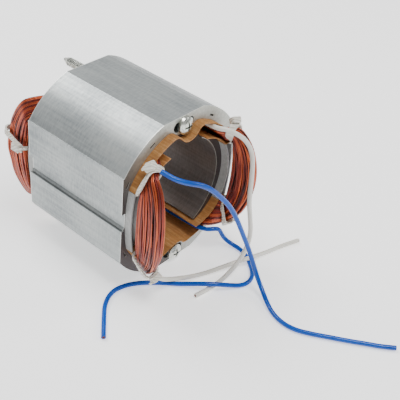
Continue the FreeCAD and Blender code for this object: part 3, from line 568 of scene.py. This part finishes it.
@dataclass
class FieldCoil:
    """A bundle of enamelled wires laid round one pole, pinched where ties hold it.

    The bundle's section is described by two shares: across, from the innermost to the
    outermost turn, and outward, from the bore side to the yoke side. A station runs from 0
    at mid length to 1 where the bundle leaves the slot, and to 2 at the end turn's middle.
    """

    side: Side
    face: float = 34.0 * MM
    half_height: float = 45.0 * MM
    slot_radii: tuple[float, float] = (35.36 * MM, 39.4 * MM)
    turn_radii: tuple[float, float] = (31.96 * MM, 38.6 * MM)
    unroll_radius: float = 37.38 * MM
    inner_half: float = 21.1 * MM
    outer_half: float = 37.84 * MM
    liner_edge: float = 5.0 * MM
    inner_rise: float = 6.6 * MM
    crown: float = 22.5 * MM
    bend: float = 1.5 * MM
    settle_rise: float = 4.0 * MM  # above the liner, until the end turn's radii hold
    flare_rises: tuple[float, float] = (1.6 * MM, 7.0 * MM)  # until the turns lie flat
    flatness: float = 0.62
    breadth: float = 16.8 * MM
    mean_depth: float = 5.4 * MM
    slot_depth: float = 4.0 * MM
    turn_depth: float = 6.6 * MM
    squareness: float = 5.0  # power of the section's rounded rectangle
    section_steps: int = 720
    arc_steps: int = 90
    slot_station: float = 0.85
    turn_stations: int = 14
    turn_step: float = 0.0715
    wire_radius: float = 0.4 * MM
    # the outer layer's tints differ at random; the inner layer's darker tints are painted shade
    # deep in the bundle
    layers: tuple[WireLayer, ...] = (
        WireLayer(46, 0.0, (0.15, 0.95)), WireLayer(32, 1.0, (0.0, 0.3)))
    layer_pitch: float = 1.6  # in wire radii
    uneven: float = 0.15  # in wires
    wander: float = 0.045
    looseness: float = 0.3 * MM
    front_tie_share: float = 0.3
    rear_tie_share: float = 0.8
    pinch_depth: float = 0.12
    pinch_spread: float = 0.1
    core_outline: tuple[tuple[float, float], ...] = (
        (0.16, 0.3), (0.5, 0.26), (0.84, 0.3), (0.88, 0.5),
        (0.84, 0.7), (0.5, 0.74), (0.16, 0.7), (0.12, 0.5))
    seed: int = 4
    arc_table: list[float] = field(init=False, default_factory=lambda: [0.0])
    section: list[tuple[float, float, float]] = field(init=False, default_factory=list)

    def __post_init__(self) -> None:
        """Measure the outermost turn's quarter ellipse and the section's outline."""
        for index in range(self.arc_steps):
            first, second = (math.pi / 2 * step / self.arc_steps
                             for step in (index, index + 1))
            self.arc_table.append(self.arc_table[-1] + math.hypot(
                self.outer_half * (math.cos(first) - math.cos(second)),
                self.crown * (math.sin(second) - math.sin(first))))
        self.section.append((0.0, *self.bulge(0.0)))
        for index in range(1, self.section_steps + 1):
            across, outward = self.bulge(math.tau * index / self.section_steps)
            length, before_across, before_outward = self.section[-1]
            run = math.hypot((across - before_across) * self.breadth,
                             (outward - before_outward) * self.mean_depth)
            self.section.append((length + run / 2, across, outward))

    def bulge(self, angle: float) -> tuple[float, float]:
        """Return the rounded section's point in this direction, from -1 to 1 each way."""
        return tuple(math.copysign(abs(value) ** (2.0 / self.squareness), value)
                     for value in (math.cos(angle), math.sin(angle)))

    def section_point(self, turn: float) -> tuple[float, float]:
        """Find a point by its way round the section.

        Args:
            turn: Share of the outline's length, 0 to 1.

        Returns:
            The point, from -1 to 1 each way.
        """
        length = (turn % 1.0) * self.section[-1][0]
        index = bisect.bisect_left(self.section, (length,), 1, len(self.section) - 1)
        (start, *first), (stop, *second) = self.section[index - 1:index + 1]
        share = (length - start) / max(stop - start, 1e-9)
        return mix(first[0], second[0], share), mix(first[1], second[1], share)

    def outer_turn(self, share: float) -> tuple[float, float]:
        """Find a point of the outermost end turn, a quarter ellipse.

        Args:
            share: Share of its length from the slot to its middle.

        Returns:
            Unrolled height and rise above the face.
        """
        length = share * self.arc_table[-1]
        last = len(self.arc_table) - 1
        index = next(i for i in range(last) if self.arc_table[i + 1] >= length or i == last - 1)
        step = self.arc_table[index + 1] - self.arc_table[index]
        angle = math.pi / 2 * (index + (length - self.arc_table[index]) / step) / last
        return self.outer_half * math.cos(angle), self.crown * math.sin(angle)

    def inner_turn(self, share: float) -> tuple[float, float]:
        """Find a point of the innermost end turn: straight, a bend, and straight across.

        Args:
            share: Share of its length from the slot to its middle.

        Returns:
            Unrolled height and rise above the face.
        """
        straight = self.inner_rise - self.bend
        curve = math.pi / 2 * self.bend
        across = self.inner_half - self.bend
        length = share * (straight + curve + across)
        if length <= straight:
            return self.inner_half, length
        if length >= straight + curve:
            return across - (length - straight - curve), self.inner_rise
        angle = (length - straight) / self.bend
        return across + self.bend * math.cos(angle), straight + self.bend * math.sin(angle)

    def quarter_point(self, station: float, across: float, outward: float) -> Vector:
        """Find a point of the front upper quarter, about the bore axis.

        Args:
            station: 0 to 2 along the quarter.
            across: Share from the innermost to the outermost turn.
            outward: Share from the bore side to the yoke side.

        Returns:
            The point for the right coil.
        """
        if station <= 1.0:
            height = mix(self.inner_half, self.outer_half, across)
            rise = self.face * (station - 1.0)
        else:
            inner = self.inner_turn(min(station, 2.0) - 1.0)
            outer = self.outer_turn(min(station, 2.0) - 1.0)
            height = mix(inner[0], outer[0], across)
            rise = mix(inner[1], outer[1], across)
        settled = smooth((rise - self.liner_edge) / self.settle_rise)
        flare = mix(*self.flare_rises, min(max(across, 0.0), 1.0))
        flat = smooth((rise - self.liner_edge) / flare) * self.flatness
        near, far = (mix(slot, turn, settled)
                     for slot, turn in zip(self.slot_radii, self.turn_radii))
        radius = mix(near, far, outward)
        angle = height / self.unroll_radius
        return Vector((mix(radius * math.cos(angle), radius, flat), -self.face - rise,
                       mix(radius * math.sin(angle), height, flat)))

    def loop_point(self, phase: float, across: float, outward: float) -> Vector:
        """Find a point of the whole loop.

        Args:
            phase: 0 to 8 round the loop, two for each quarter.
            across: Share from the innermost to the outermost turn.
            outward: Share from the bore side to the yoke side.

        Returns:
            The point in the part's frame.
        """
        quarter, along = divmod(phase % 8.0, 2.0)
        station = along if quarter in (0.0, 2.0) else 2.0 - along
        point = self.quarter_point(station, across, outward)
        if quarter in (1.0, 2.0):
            point.z = -point.z
        if quarter in (2.0, 3.0):
            point.y = -point.y
        if self.side is Side.LEFT:
            point.x = -point.x
        point.z += self.half_height
        return point

    @staticmethod
    def station_at(phase: float) -> float:
        """Return the station, 0 to 2, that belongs to a phase of the loop."""
        station = phase % 4.0
        return station if station <= 2.0 else 4.0 - station

    def pinch(self, phase: float) -> float:
        """Tell how tightly a tie draws the bundle together.

        Args:
            phase: 0 to 8 round the loop.

        Returns:
            1 at the bundle's full size, less near a tie.
        """
        tie_share = self.front_tie_share if phase < 4.0 else self.rear_tie_share
        away = (self.station_at(phase) - 1.0 - tie_share) / self.pinch_spread
        return 1.0 - self.pinch_depth * math.exp(-away ** 2)

    def phases(self) -> list[float]:
        """List the places of one loop that a wire is led through.

        Returns:
            Phases, close together in the end turns.
        """
        quarter = [0.0, self.slot_station]
        quarter += [1.0 + self.turn_step * step for step in range(self.turn_stations)]
        loop = quarter + [2.0] + [4.0 - phase for phase in reversed(quarter[1:])]
        return loop + [phase + 4.0 for phase in loop]

    def wire_points(self, rng: random.Random, turn: float, depth: float) -> list[Vector]:
        """Lead one wire round the loop.

        Args:
            rng: Source of the wire's own wander.
            turn: Place round the section, 0 to 1.
            depth: Distance below the bundle's surface, in wires.

        Returns:
            Points round the whole loop.
        """
        waves = [(rng.uniform(-1, 1), rng.uniform(0, math.tau), rng.choice((1, 2, 3)))
                 for _ in range(2)]
        sinks = [(rng.uniform(-0.5, 0.5), rng.uniform(0, math.tau), rng.choice((2, 3, 5)))
                 for _ in range(2)]
        points = []
        for phase in self.phases():
            free = smooth(self.station_at(phase) - 1.0)
            drift, sink = (sum(size * math.sin(start + count * phase * math.pi / 4)
                               for size, start, count in parts) for parts in (waves, sinks))
            spot = self.section_point(turn + free * self.wander * drift)
            inset = (self.wire_radius * (1.0 + self.layer_pitch * depth)
                     + free * (1.0 + sink) * self.looseness)
            room = (self.breadth, mix(self.slot_depth, self.turn_depth, free))
            across, outward = (0.5 + value * (0.5 - inset / size) * self.pinch(phase)
                               for value, size in zip(spot, room))
            points.append(self.loop_point(phase, across, outward))
        return points

    def lay_wire(self, number: int, points: list[Vector]) -> bpy.types.Object:
        """Lay one wire as a closed curve.

        Args:
            number: The wire's number.
            points: Points round the loop.

        Returns:
            The curve.
        """
        data = bpy.data.curves.new(f"wire_{number}", "CURVE")
        data.dimensions = "3D"
        data.bevel_depth = self.wire_radius
        data.bevel_resolution = 1
        data.resolution_u = 2
        spline = data.splines.new("NURBS")
        spline.points.add(len(points) - 1)
        for target, point in zip(spline.points, points):
            target.co = (*point, 1.0)
        spline.order_u = 4
        spline.use_cyclic_u = True
        wire = bpy.data.objects.new(f"wire_{number}", data)
        bpy.context.scene.collection.objects.link(wire)
        return wire

    def build_wires(self) -> bpy.types.Object:
        """Lay all the wires and join them, each with its own tint.

        Returns:
            The winding's mesh.
        """
        rng = random.Random(self.seed + self.side.value)
        wires = []
        for layer in self.layers:
            for number in range(layer.count):
                turn = (number + rng.uniform(-self.uneven, self.uneven)) / layer.count
                points = self.wire_points(rng, turn, layer.depth)
                tint = rng.uniform(*layer.tints)
                wires.append((self.lay_wire(len(wires), points), tint))
        deselect()
        for wire, _tint in wires:
            wire.select_set(True)
        bpy.context.view_layer.objects.active = wires[0][0]
        bpy.ops.object.convert(target="MESH")
        for wire, tint in wires:
            tint_mesh(wire.data, tint)
        bpy.ops.object.join()
        winding = bpy.context.view_layer.objects.active
        winding.name = f"{self.side.name.lower()}_coil_wires"
        winding.data.name = winding.name
        winding.data.shade_smooth()
        return winding

    def build_core(self) -> bpy.types.Object:
        """Fill the middle of the bundle, so that no light comes through it.

        Returns:
            The core's mesh.
        """
        loop = self.phases()
        vertices = [self.loop_point(phase, *corner)
                    for phase in loop for corner in self.core_outline]
        count = len(self.core_outline)
        faces = []
        for ring in range(len(loop)):
            follow = (ring + 1) % len(loop)
            for index in range(count):
                other = (index + 1) % count
                faces.append((ring * count + index, ring * count + other,
                              follow * count + other, follow * count + index))
        data = bpy.data.meshes.new("core")
        data.from_pydata(vertices, [], faces)
        # tint 0 gives the core the deep copper: painted shade in the bundle's middle
        tint_mesh(data, 0.0)
        core = bpy.data.objects.new(f"{self.side.name.lower()}_coil_core", data)
        bpy.context.scene.collection.objects.link(core)
        face_outwards(core)
        return core

    def dress(self, copper: bpy.types.Material) -> None:
        """Build the coil and put it in the place of its plain solid.

        Args:
            copper: The wires' material.
        """
        node = f"field_coil_{self.side.name.lower()}"
        for piece in (self.build_wires(), self.build_core()):
            finish_piece(piece, copper)
            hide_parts(node)


# ----------------------------------------------------------------------------------------
# Leads
# ----------------------------------------------------------------------------------------


@dataclass(frozen=True)
class InsulatedLead:
    """A free insulated lead, from where it leaves the winding to its cut end; its route is
    given in millimetres."""

    node: str
    slot: str
    length: float
    route: tuple[tuple[float, float, float], ...]
    diameter: float = 2.5 * MM
    core_diameter: float = 1.3 * MM
    core_length: float = 2.0 * MM
    core_reach: float = 0.15 * MM

    def build(self, insulation: bpy.types.Material, copper: bpy.types.Material) -> None:
        """Lay the lead along its route.

        Args:
            insulation: The material of the insulation.
            copper: The material of the core.
        """
        data = bpy.data.curves.new(f"{self.node}_wire", "CURVE")
        data.dimensions = "3D"
        data.bevel_depth = self.diameter / 2
        data.bevel_resolution = 6
        data.resolution_u = 10
        data.use_fill_caps = True
        spline = data.splines.new("NURBS")
        spline.points.add(len(self.route) - 1)
        for target, (across, along, up) in zip(spline.points, self.route):
            target.co = (across * MM, along * MM, up * MM, 1.0)
        spline.order_u = 3
        spline.use_endpoint_u = True
        piece = bpy.data.objects.new(f"{self.node}_wire", data)
        bpy.context.scene.collection.objects.link(piece)
        finish_piece(piece, insulation)
        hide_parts(self.node)
        self.build_core(copper)

    def build_core(self, copper: bpy.types.Material) -> bpy.types.Object:
        """Make the stranded core, which shows at the cut end.

        Args:
            copper: The core's material.

        Returns:
            The core's mesh.
        """
        end = Vector(self.route[-1]) * MM
        heading = (end - Vector(self.route[-2]) * MM).normalized()
        middle = end + heading * (self.core_reach / 2 - self.core_length / 2)
        deselect()
        bpy.ops.mesh.primitive_cylinder_add(
            vertices=16, radius=self.core_diameter / 2,
            depth=self.core_length + self.core_reach, location=(0, 0, 0))
        core = bpy.context.object
        core.name = f"{self.node}_core"
        turn = heading.to_track_quat("Z", "Y").to_matrix().to_4x4()
        core.data.transform(Matrix.Translation(middle) @ turn)
        finish_piece(core, copper)
        return core


LEADS = (
    InsulatedLead("lead_blue_left", "blue_insulation", 0.182, (
        (-28.4, -46.4, 77.2), (-27.5, -49.2, 76.3), (-26.1, -52.6, 75.2), (-23.6, -55.8, 74.0),
        (-20.2, -58.4, 72.7), (-15.8, -60.5, 71.0), (-10.4, -62.8, 67.1), (-4.1, -64.8, 60.1),
        (0.4, -66.8, 54.0), (4.4, -68.8, 46.2), (8.4, -71.6, 35.0), (11.7, -74.4, 25.0),
        (13.9, -77.2, 15.6), (13.9, -81.3, 8.2), (12.2, -86.4, 4.0), (9.1, -91.9, 2.1),
        (5.7, -97.9, 1.25), (3.7, -103.7, 1.25), (3.2, -109.5, 1.25), (4.4, -115.2, 1.25),
        (8.0, -122.1, 1.25), (12.3, -129.0, 1.25), (17.2, -137.2, 1.25), (22.4, -145.0, 1.25),
        (26.3, -151.3, 1.25), (30.8, -156.8, 1.25))),
    InsulatedLead("lead_white_right", "white_insulation", 0.132, (
        (17.4, -30.5, 78.8), (17.2, -37.2, 79.0), (17.6, -41.8, 79.2), (20.0, -44.9, 79.1),
        (22.4, -47.6, 77.7), (25.5, -50.0, 75.4), (28.4, -52.2, 72.1), (30.2, -54.4, 67.5),
        (30.4, -56.3, 62.2), (29.3, -57.7, 56.6), (28.4, -58.8, 50.2), (28.0, -59.3, 43.2),
        (27.8, -60.2, 36.6), (27.8, -61.6, 30.6), (27.9, -63.0, 24.6), (27.2, -64.3, 18.8),
        (24.4, -65.3, 13.6), (20.2, -65.9, 9.4), (15.6, -65.9, 6.0), (10.1, -65.7, 3.2),
        (3.6, -65.5, 1.25), (-4.6, -65.1, 1.25), (-14.2, -63.6, 1.25))),
    InsulatedLead("lead_blue_right", "blue_insulation", 0.2386, (
        (17.6, 36.0, 11.5), (17.9, 14.0, 11.3), (17.7, -10.0, 11.4), (17.9, -28.0, 11.6),
        (18.6, -39.6, 12.6), (22.0, -43.4, 13.4), (25.6, -44.6, 12.2), (27.6, -45.2, 8.0),
        (29.6, -46.8, 3.8), (31.4, -51.2, 1.6), (31.9, -56.0, 1.25), (30.4, -61.4, 1.25),
        (27.0, -66.6, 1.25), (23.2, -71.4, 1.25), (18.8, -75.2, 1.25), (13.4, -76.5, 1.25),
        (8.5, -74.9, 1.4), (3.5, -71.3, 2.5), (-2.1, -67.2, 3.9), (-6.6, -62.4, 3.9),
        (-10.2, -57.2, 2.6), (-14.2, -51.5, 1.25), (-20.3, -44.4, 1.25), (-27.3, -37.8, 1.25),
        (-34.7, -33.4, 1.25), (-43.0, -31.9, 1.25), (-51.5, -35.7, 1.25), (-59.3, -43.3, 1.25),
        (-67.8, -52.1, 1.25))),
    InsulatedLead("lead_white_left", "white_insulation", 0.0976, (
        (-27.6, -47.4, 12.2), (-23.2, -47.6, 7.7), (-17.6, -48.9, 4.9), (-9.7, -52.3, 3.4),
        (-0.6, -55.0, 1.6), (8.6, -58.4, 1.9), (17.1, -62.3, 3.5), (24.9, -65.6, 4.3),
        (33.3, -67.6, 3.2), (43.0, -68.9, 1.5), (53.0, -70.9, 1.25), (62.6, -74.3, 1.25))),
)


# ----------------------------------------------------------------------------------------
# Small tools for pieces
# ----------------------------------------------------------------------------------------


def deselect() -> None:
    """Deselect everything."""
    if bpy.context.object and bpy.context.object.mode != "OBJECT":
        bpy.ops.object.mode_set(mode="OBJECT")
    bpy.ops.object.select_all(action="DESELECT")


def face_outwards(piece: bpy.types.Object) -> None:
    """Turn all faces of a closed mesh outwards and smooth them.

    Args:
        piece: The mesh's object.
    """
    deselect()
    piece.select_set(True)
    bpy.context.view_layer.objects.active = piece
    bpy.ops.object.mode_set(mode="EDIT")
    bpy.ops.mesh.select_all(action="SELECT")
    bpy.ops.mesh.normals_make_consistent(inside=False)
    bpy.ops.object.mode_set(mode="OBJECT")
    bpy.ops.object.shade_smooth()


def tint_mesh(data: bpy.types.Mesh, tint: float) -> None:
    """Write the same wire tint, from 0 for the deep painted shade to 1 for bright, at every
    vertex.
    """
    layer = data.attributes.new("wire_tint", "FLOAT", "POINT")
    layer.data.foreach_set("value", [tint] * len(data.vertices))


def finish_piece(piece: bpy.types.Object, material: bpy.types.Material) -> None:
    """Give a new piece its material and its slot, and let it ride on the stator.

    Args:
        piece: The new piece.
        material: Its material.
    """
    piece.data.materials.clear()
    piece.data.materials.append(material)
    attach(piece, "root")
    LOG.info("built %s", piece.name)


def dress_node(node: bpy.types.Object, material: bpy.types.Material) -> None:
    """Give a solid of the part its finish.

    Args:
        node: The solid's object.
        material: Its material.
    """
    node.data.materials.clear()
    node.data.materials.append(material)
    LOG.info("dressed %s", node.name)


# ----------------------------------------------------------------------------------------
# Studio
# ----------------------------------------------------------------------------------------


@dataclass(frozen=True)
class Softbox:
    """A round soft light."""

    place: tuple[float, float, float]
    size: float
    power: float

    def hang(self, target: Vector) -> None:
        """Hang the light so that it faces a target.

        Args:
            target: The point that it faces.
        """
        data = bpy.data.lights.new("softbox", "AREA")
        data.shape = "DISK"
        data.size = self.size
        data.energy = self.power
        light = bpy.data.objects.new("softbox", data)
        light.location = self.place
        aim = target - Vector(self.place)
        light.rotation_euler = aim.to_track_quat("-Z", "Y").to_euler()
        bpy.context.scene.collection.objects.link(light)


@dataclass(frozen=True)
class Studio:
    """A pale floor, soft light and the camera, whose directions are in degrees."""

    target: tuple[float, float, float] = (0.0253, -0.0295, 0.0237)
    distance: float = 0.440
    azimuth: float = -52.65
    elevation: float = 36.92
    roll: float = 6.48
    lens: float = 72.0
    sensor_width: float = 36.0
    floor_size: float = 6.0
    floor_drop: float = 0.2 * MM
    floor_dark: str = "#F6F6F6"
    floor_pale: str = "#FAFAFA"
    floor_grain: float = 333.0 * MM
    floor_glow: float = 0.8
    room_light: float = 0.45
    lit_point: tuple[float, float, float] = (0.0, 0.0, 0.045)
    lights: tuple[Softbox, ...] = (
        Softbox((0.05, -0.4, 1.2), 0.6, 9.0),
        Softbox((0.0, 0.8, 1.1), 0.7, 14.0),
        Softbox((0.7, -0.6, 0.6), 0.4, 2.5))

    def build_camera(self) -> None:
        """Place the camera by its direction, distance and roll."""
        turn, rise = math.radians(self.azimuth), math.radians(self.elevation)
        back = Vector((math.sin(turn) * math.cos(rise), -math.cos(turn) * math.cos(rise),
                       math.sin(rise)))
        right = Vector((0, 0, 1)).cross(back).normalized()
        up = back.cross(right)
        lean = math.radians(self.roll)
        right, up = (right * math.cos(lean) + up * math.sin(lean),
                     up * math.cos(lean) - right * math.sin(lean))
        data = bpy.data.cameras.new("camera")
        data.lens = self.lens
        data.sensor_width = self.sensor_width
        data.clip_start = 0.01
        camera = bpy.data.objects.new("camera", data)
        place = Vector(self.target) + back * self.distance
        camera.matrix_world = Matrix((
            (right.x, up.x, back.x, place.x), (right.y, up.y, back.y, place.y),
            (right.z, up.z, back.z, place.z), (0, 0, 0, 1)))
        bpy.context.scene.collection.objects.link(camera)
        bpy.context.scene.camera = camera

    def build_floor(self) -> None:
        """Lay the pale floor: matte white paper, which glows a little to stay white."""
        deselect()
        bpy.ops.mesh.primitive_plane_add(size=self.floor_size,
                                         location=(0, 0, -self.floor_drop))
        floor = bpy.context.object
        floor.name = "floor"
        material, tree, shader = new_material("matte_white_paper")
        place = add_node(tree, "ShaderNodeTexCoord").outputs["Object"]
        tone = add_node(tree, "ShaderNodeTexNoise", inputs={
            "Vector": place, "Scale": 1.0 / self.floor_grain})
        colour = add_node(tree, "ShaderNodeValToRGB", inputs={"Fac": tone}, stops=(
            (0.2, self.floor_dark), (0.8, self.floor_pale)))
        tree.links.new(colour.outputs["Color"], shader.inputs["Base Color"])
        shader.inputs["Roughness"].default_value = 0.9
        shader.inputs["Emission Color"].default_value = (1.0, 1.0, 1.0, 1.0)
        shader.inputs["Emission Strength"].default_value = self.floor_glow
        floor.data.materials.append(material)

    def build(self) -> None:
        """Build the camera, the floor, the world's even light and the softboxes."""
        self.build_camera()
        self.build_floor()
        world = bpy.data.worlds.new("studio")
        world.use_nodes = True
        background = world.node_tree.nodes["Background"]
        background.inputs["Color"].default_value = (1.0, 1.0, 1.0, 1.0)
        background.inputs["Strength"].default_value = self.room_light
        bpy.context.scene.world = world
        for light in self.lights:
            light.hang(Vector(self.lit_point))


# ----------------------------------------------------------------------------------------
# The stator
# ----------------------------------------------------------------------------------------


def main() -> None:
    """Load the stator, dress it and light it."""
    logging.basicConfig(level=logging.INFO, format="%(message)s")
    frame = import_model()
    Studio().build()
    insulation = {
        "blue_insulation": LeadInsulation("blue_pvc", "#004EB0", "#0044A2").build(),
        "white_insulation": LeadInsulation("white_pvc", "#E6E3DA", "#DAD7CD").build(),
    }
    strands = StrandedCopper().build()
    for lead in LEADS:
        lead.build(insulation[lead.slot], strands)
    finishes = {
        "lamination_stack": LaminationSteel().build(),
        "slot_liner": Pressboard().build(),
        "end_insulator": MouldedNylon().build(),
        "cable_tie": NaturalNylon().build(),
        "fixing_screw": ZincPlate().build(),
    }
    for name, node in frame["nodes"].items():
        for start, material in finishes.items():
            if name.startswith(start):
                dress_node(node, material)
    copper = EnamelledCopper().build()
    for side in Side:
        FieldCoil(side).dress(copper)


if __name__ == "__main__":
    main()
